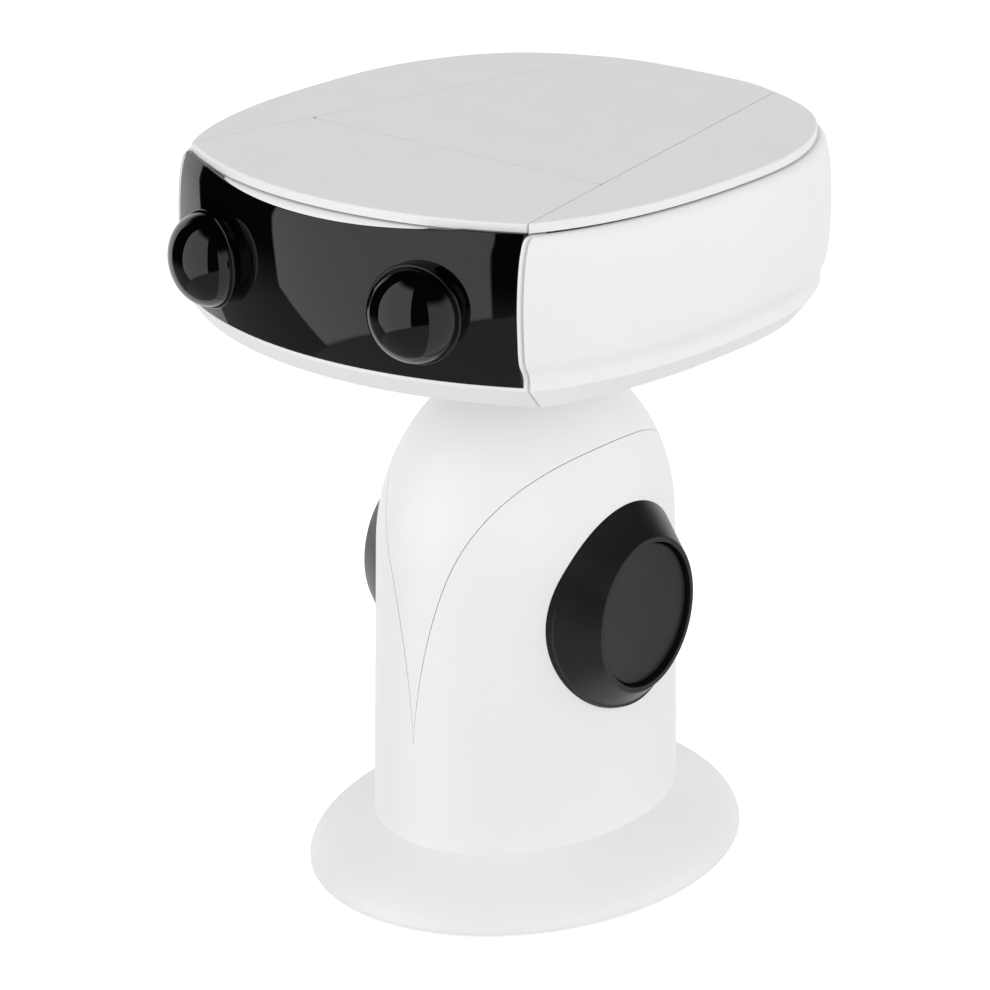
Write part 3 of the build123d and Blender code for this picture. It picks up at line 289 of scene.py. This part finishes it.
def closed_shell(outer, inner):
    """Closed solid between two grids of points with the same rows and columns."""
    mesh = bmesh.new()
    rows, columns = len(outer), len(outer[0])
    skins = [[[mesh.verts.new(p) for p in row] for row in grid] for grid in (outer, inner)]
    for skin in skins:
        for r in range(rows - 1):
            for c in range(columns - 1):
                mesh.faces.new((skin[r][c], skin[r][c + 1], skin[r + 1][c + 1], skin[r + 1][c]))
    out, back = skins
    for r in range(rows - 1):
        for c in (0, columns - 1):
            mesh.faces.new((out[r][c], out[r + 1][c], back[r + 1][c], back[r][c]))
    for c in range(columns - 1):
        for r in (0, rows - 1):
            mesh.faces.new((out[r][c], out[r][c + 1], back[r][c + 1], back[r][c]))
    return mesh


def turned(profile, segments):
    """Closed solid of revolution about local Z. The profile runs from axis to axis."""
    mesh = bmesh.new()
    rings = []
    for radius, height in profile:
        if radius == 0:
            rings.append([mesh.verts.new((0, 0, height))])
            continue
        angles = [2 * math.pi * s / segments for s in range(segments)]
        rings.append(
            [mesh.verts.new((radius * math.cos(a), radius * math.sin(a), height)) for a in angles]
        )
    for low, high in zip(rings, rings[1:]):
        for s in range(segments):
            t = (s + 1) % segments
            under = [low[s % len(low)], low[t % len(low)]]
            over = [high[t % len(high)], high[s % len(high)]]
            mesh.faces.new(list(dict.fromkeys(under + over)))
    return mesh


def front_y(grow, x):
    """Where the head's front arc stands at a given x."""
    return FRONT_CENTRE_Y - math.sqrt((FRONT_RADIUS + grow) ** 2 - x**2)


def bulge(z):
    """How far the head's wall stands out from the lid's outline at a level."""
    if z < WIDEST_Z:
        fall = (WIDEST_Z - z) / (WIDEST_Z - CHAMFER_TOP)
        return BULGE_MAX - (BULGE_MAX - BULGE_CHAMFER) * fall**2
    rise = min(1, (z - WIDEST_Z) / (WALL_TOP - WIDEST_Z))
    round_off = 1 - (1 - rise**BULGE_POWER) ** (1 / BULGE_POWER)
    return BULGE_MAX - (BULGE_MAX - BULGE_TOP) * round_off


# ---------------------------------------------------------------- visor and eyes
def visor_front(z):
    """The visor's own wall: as the head's, and then leaning straight in at the top."""
    if z < VISOR_LEAN_START:
        return bulge(z)
    return bulge(VISOR_LEAN_START) - VISOR_LEAN * (z - VISOR_LEAN_START)


def visor_back(z):
    """Its back face, a wall's thickness behind and never inside the lid's outline."""
    if z < WALL_TOP - VISOR_THICKNESS:
        return visor_front(z) - VISOR_THICKNESS
    return max(VISOR_INNER_TOP, visor_front(z) - VISOR_THICKNESS)


def make_visor():
    """Curved pane between two upright edges, its top an arc that stops under the lid's edge."""
    outer, inner = [], []
    for r in range(VISOR_ROWS + 1):
        front_row, back_row = [], []
        for c in range(VISOR_COLUMNS + 1):
            x = VISOR_EDGE_X * (2 * c / VISOR_COLUMNS - 1)
            rise = VISOR_TOP_RADIUS - math.sqrt(VISOR_TOP_RADIUS**2 - x**2)
            top = min(VISOR_TOP_CORNER, VISOR_TOP_MIDDLE + rise)
            z = VISOR_BOTTOM + (top - VISOR_BOTTOM) * r / VISOR_ROWS
            front_row.append((x, front_y(visor_front(z), x), z))
            back_row.append((x, front_y(visor_back(z), x), z))
        outer.append(front_row)
        inner.append(back_row)
    pane = finish_mesh("visor_glass", closed_shell(outer, inner), "gloss_black", "visor")
    round_edges(pane, VISOR_EDGE, 3, VISOR_SHARP)


def dome_profile():
    """From the pole down an elliptical cap, round its rim, and back under to the axis."""
    cap = []
    for step in range(DOME_STEPS + 1):
        angle = step / DOME_STEPS * math.pi / 2
        cap.append((DOME_RADIUS * math.sin(angle), DOME_HEIGHT * math.cos(angle)))
    cap[0] = (0, DOME_HEIGHT)
    return cap + [(DOME_RADIUS - EDGE_ROUND, -EDGE_ROUND), (0, -EDGE_ROUND)]


def collar_profile():
    """Disc with a rounded front edge, narrowing to its foot inside the visor."""
    ring = [(0, 0)]
    for step in range(COLLAR_STEPS + 1):
        angle = step / COLLAR_STEPS * math.pi / 2
        reach = COLLAR_RADIUS - EDGE_ROUND + EDGE_ROUND * math.sin(angle)
        ring.append((reach, EDGE_ROUND * (math.cos(angle) - 1)))
    depth = COLLAR_BACK - COLLAR_FRONT
    return ring + [(COLLAR_FOOT_RADIUS, depth), (0, depth)]


def make_eye(side, sign):
    """Dome and collar, turned outward by the eye's yaw."""
    axis = Vector((sign * math.sin(EYE_YAW), -math.cos(EYE_YAW), 0))
    turn = axis.to_track_quat("Z", "Y").to_matrix().to_4x4()
    place = Vector((sign * EYE_CENTRE[0], EYE_CENTRE[1], EYE_CENTRE[2])) + axis * COLLAR_FRONT
    shapes = (
        ("eye_lens", dome_profile(), "lens_black", "eye_dome"),
        ("eye_ring", collar_profile(), "gloss_black", "eye_collar"),
    )
    for name, profile, slot, node in shapes:
        mesh = turned(profile, EYE_SEGMENTS)
        bmesh.ops.transform(mesh, matrix=turn, verts=mesh.verts)
        bmesh.ops.translate(mesh, vec=place, verts=mesh.verts)
        finish_mesh(f"{name}_{side}", mesh, slot, f"{node}_{side}")


# ---------------------------------------------------------------- studio
def math_node(tree, operation, *values):
    node = tree.nodes.new("ShaderNodeMath")
    node.operation = operation
    for socket, value in zip(node.inputs, values):
        if isinstance(value, (int, float)):
            socket.default_value = value
        else:
            tree.links.new(value, socket)
    return node.outputs["Value"]


def smooth_step(tree, value, low, high):
    step = tree.nodes.new("ShaderNodeMapRange")
    step.interpolation_type = "SMOOTHSTEP"
    step.inputs["From Min"].default_value = low
    step.inputs["From Max"].default_value = high
    tree.links.new(value, step.inputs["Value"])
    return step.outputs["Result"]


def inverse(tree, value):
    return math_node(tree, "SUBTRACT", 1.0, value)


def panel(tree, bearing, start, end, level):
    """Brightness of a softbox between two bearings."""
    opened = smooth_step(tree, bearing, start - PANEL_EDGE, start + PANEL_EDGE)
    closed = smooth_step(tree, bearing, end - PANEL_EDGE, end + PANEL_EDGE)
    inside = math_node(tree, "MULTIPLY", opened, inverse(tree, closed))
    return math_node(tree, "MULTIPLY", inside, level)


def dark_room(tree, across, ahead, height):
    """What glossy faces see: three softboxes standing on a dim floor in a dark room."""
    facing = math_node(tree, "MULTIPLY", ahead, -1.0)
    bearing = math_node(tree, "ARCTAN2", across, facing)
    bearing = math_node(tree, "MULTIPLY", bearing, 180 / math.pi)
    sunk = math_node(tree, "MINIMUM", math_node(tree, "ADD", height, PANEL_LEAN[0]), 0.0)
    swung = math_node(tree, "MULTIPLY_ADD", sunk, PANEL_LEAN[1], bearing)
    slope = math_node(tree, "MULTIPLY", swung, PANEL_FOOT[1])
    foot = math_node(tree, "ADD", slope, PANEL_FOOT[0])
    over_foot = math_node(tree, "SUBTRACT", height, foot)
    standing = smooth_step(tree, over_foot, -PANEL_FOOT_EDGE, PANEL_FOOT_EDGE)
    front = math_node(tree, "MULTIPLY", panel(tree, swung, *FRONT_PANEL), standing)
    floor = math_node(tree, "MULTIPLY", inverse(tree, standing), FLOOR_GLOW)
    side, far = (panel(tree, bearing, *box) for box in (SIDE_PANEL, FAR_PANEL))
    sides = math_node(tree, "ADD", side, far)
    low = inverse(tree, smooth_step(tree, height, *SIDE_FADE))
    sides = math_node(tree, "MULTIPLY", sides, low)
    haze = math_node(tree, "MULTIPLY", smooth_step(tree, height, *HAZE_SPAN), HAZE)
    floor = math_node(tree, "MAXIMUM", floor, haze)
    room = math_node(tree, "MAXIMUM", math_node(tree, "MAXIMUM", front, floor), sides)
    overhead = smooth_step(tree, height, *OVERHEAD_FADE)
    return math_node(tree, "MULTIPLY", room, inverse(tree, overhead))


def make_world():
    """White surroundings, dimmer overhead, and the dark room for glossy rays."""
    world = bpy.data.worlds.new("studio")
    scene.world = world
    world.use_nodes = True
    tree = world.node_tree
    direction = tree.nodes.new("ShaderNodeTexCoord").outputs["Generated"]
    split = tree.nodes.new("ShaderNodeSeparateXYZ")
    tree.links.new(direction, split.inputs["Vector"])
    across, ahead, height = split.outputs
    overhead = smooth_step(tree, height, 0.0, 1.0)
    soft = math_node(tree, "MULTIPLY_ADD", overhead, ZENITH - HORIZON, HORIZON)
    rays = tree.nodes.new("ShaderNodeLightPath")
    pick = tree.nodes.new("ShaderNodeMix")
    pick.data_type = "FLOAT"
    tree.links.new(rays.outputs["Is Glossy Ray"], pick.inputs["Factor"])
    tree.links.new(soft, pick.inputs["A"])
    tree.links.new(dark_room(tree, across, ahead, height), pick.inputs["B"])
    sky = tree.nodes["Background"]
    sky.inputs["Color"].default_value = (1, 1, 1, 1)
    tree.links.new(pick.outputs["Result"], sky.inputs["Strength"])


def make_floor():
    """Pale floor that reads as white, and lights the object less than it shows."""
    data = bpy.data.meshes.new("floor")
    mesh = bmesh.new()
    corners = ((-1, -1), (1, -1), (1, 1), (-1, 1))
    reach = FLOOR_REACH
    mesh.faces.new([mesh.verts.new((x * reach, y * reach, 0)) for x, y in corners])
    mesh.to_mesh(data)
    mesh.free()
    floor = bpy.data.objects.new("floor", data)
    scene.collection.objects.link(floor)
    floor.location.z = cad_low[2] - FLOOR_GAP
    paint = bpy.data.materials.new("floor")
    paint.use_nodes = True
    tree = paint.node_tree
    shader = tree.nodes["Principled BSDF"]
    shader.inputs["Base Color"].default_value = FLOOR_COLOR
    shader.inputs["Roughness"].default_value = 0.9
    shader.inputs["Specular IOR Level"].default_value = 0.0
    shader.inputs["Emission Color"].default_value = (1, 1, 1, 1)
    bounced = tree.nodes.new("ShaderNodeLightPath").outputs["Is Diffuse Ray"]
    glow = math_node(tree, "MULTIPLY_ADD", bounced, ROOM_FLOOR - WHITE_FLOOR, WHITE_FLOOR)
    tree.links.new(glow, shader.inputs["Emission Strength"])
    data.materials.append(paint)
    floor.visible_glossy = False


def make_light(name, place, power):
    """Soft disc aimed at the middle of the object, unseen by glossy faces."""
    data = bpy.data.lights.new(name, "AREA")
    data.shape = "DISK"
    data.size = LIGHT_SIZE
    data.energy = power
    light = bpy.data.objects.new(name, data)
    scene.collection.objects.link(light)
    light.location = place
    aim = Vector((0, 0, LOOK_AT_Z)) - light.location
    light.rotation_mode = "QUATERNION"
    light.rotation_quaternion = aim.to_track_quat("-Z", "Y")
    light.visible_glossy = False


def make_camera():
    """The photograph's viewpoint."""
    back = Vector(
        (
            math.sin(CAMERA_TURN) * math.cos(CAMERA_RISE),
            -math.cos(CAMERA_TURN) * math.cos(CAMERA_RISE),
            math.sin(CAMERA_RISE),
        )
    )
    data = bpy.data.cameras.new("camera")
    data.sensor_width = SENSOR_WIDTH
    data.lens = CAMERA_LENS
    data.shift_x, data.shift_y = CAMERA_SHIFT
    camera = bpy.data.objects.new("camera", data)
    scene.collection.objects.link(camera)
    camera.location = Vector((0, 0, LOOK_AT_Z)) + back * CAMERA_DISTANCE
    camera.rotation_mode = "QUATERNION"
    camera.rotation_quaternion = (-back).to_track_quat("-Z", "Y")
    scene.camera = camera


# ---------------------------------------------------------------- build
paint_cad_nodes()
for name in ("lid_front", "lid_rear", "lid_side_right", "lid_side_left"):
    round_edges(frame["nodes"][name], LID_EDGE, 2, LID_SHARP)
make_visor()
make_eye("right", 1)
make_eye("left", -1)
make_world()
make_floor()
for name, place, power in LIGHTS:
    make_light(name, place, power)
make_camera()
